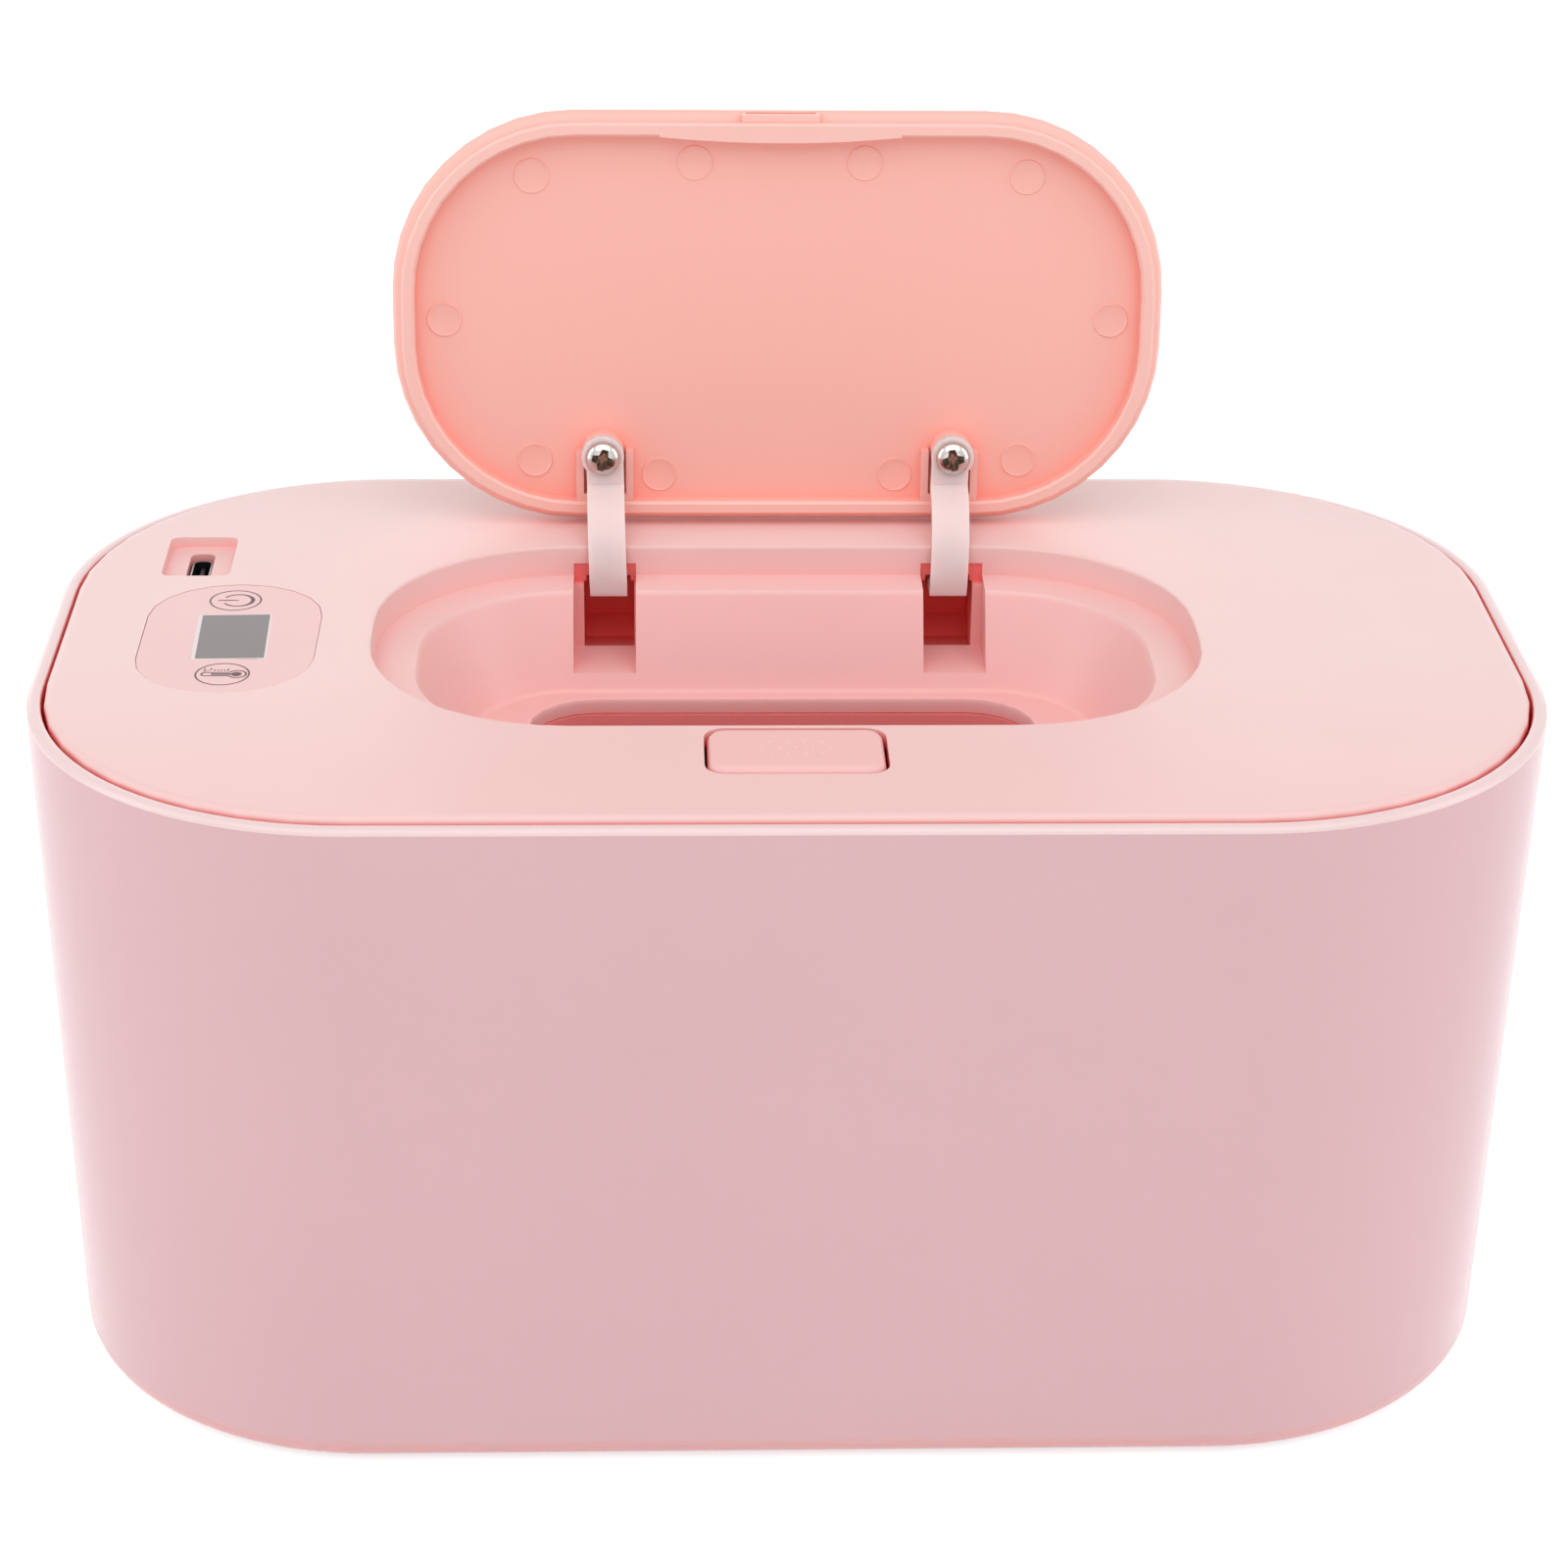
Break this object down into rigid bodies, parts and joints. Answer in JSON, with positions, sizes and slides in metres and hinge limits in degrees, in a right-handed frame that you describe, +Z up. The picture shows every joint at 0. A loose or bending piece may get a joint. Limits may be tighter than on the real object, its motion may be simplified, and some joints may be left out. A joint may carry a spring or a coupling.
{
  "type": "baby wipe warmer",
  "caption": "Oval tub with a lift-off heated cover, a dispensing well under a hinged flip lid, a rocking latch button, a touch panel and a power socket.",
  "frame": {"origin": "middle of the base at table level, at rest with the lid open", "axes": "+X to the right seen from the front, +Y to the back, +Z up"},
  "size_m": [0.23, 0.1392, 0.1786],
  "materials": {
    "shell_pink": "glossy injection moulded shell",
    "cover_pink": "satin injection moulded cover",
    "inner_pink": "plain moulded inner face",
    "lid_pink": "semi-gloss moulded lid",
    "arm_plastic": "translucent natural moulding",
    "panel_pink": "printed film label",
    "display_grey": "smoked window",
    "display_white": "plain moulded frame",
    "rubber_grey": "soft rubber",
    "board_green": "coated glass-fibre board",
    "film_amber": "etched foil in amber film",
    "insulation_grey": "closed-cell foam",
    "sensor_black": "epoxy bead",
    "lead_red": "insulated wire",
    "lead_black": "insulated wire",
    "lead_white": "insulated wire",
    "steel": "plated steel",
    "aluminium": "rolled sheet"
  },
  "bodies": {
    "case": {"outer_shell": "shell_pink", "foot_front_left": "rubber_grey", "foot_front_right": "rubber_grey", "foot_rear_right": "rubber_grey", "foot_rear_left": "rubber_grey"},
    "cover": {"top_cover": "cover_pink", "under_cover": "inner_pink", "heater_plate": "aluminium", "heating_film": "film_amber", "insulation_ring": "insulation_grey", "control_board": "board_green", "display_body": "display_white", "display_glass": "display_grey", "panel_label": "panel_pink", "power_socket": "steel", "touch_spring_power": "steel", "touch_spring_heat": "steel", "thermal_sensor": "sensor_black", "sensor_lead": "lead_white", "heater_lead_red": "lead_red", "heater_lead_black": "lead_black", "cover_screw_1": "steel", "cover_screw_2": "steel", "cover_screw_3": "steel", "cover_screw_4": "steel", "cover_screw_5": "steel", "cover_screw_6": "steel", "cover_screw_7": "steel", "board_screw_1": "steel", "board_screw_2": "steel", "board_screw_3": "steel", "hinge_pin_left": "steel", "hinge_pin_right": "steel", "latch_pin": "steel", "latch_spring": "steel"},
    "lid": {"lid": "lid_pink", "hinge_arm_left": "arm_plastic", "hinge_arm_right": "arm_plastic", "arm_screw_left": "steel", "arm_screw_right": "steel"},
    "button": {"latch_button": "cover_pink"}
  },
  "joints": [
    {"name": "cover_lift", "type": "slide", "parent": "case", "child": "cover", "axis": [0, 0, 1], "range_m": [0, 0.04]},
    {"name": "lid_hinge", "type": "hinge", "parent": "cover", "child": "lid", "pos_m": [0, 0.04178, 0.1032], "axis": [1, 0, 0], "range_deg": [0, 94]},
    {"name": "button_rock", "type": "hinge", "parent": "cover", "child": "button", "pos_m": [0, -0.0393, 0.1001], "axis": [1, 0, 0], "range_deg": [0, 4], "stiffness_Nm_per_rad": 0.15, "springref_deg": -2.29, "deforming": ["latch_spring"]}
  ]
}
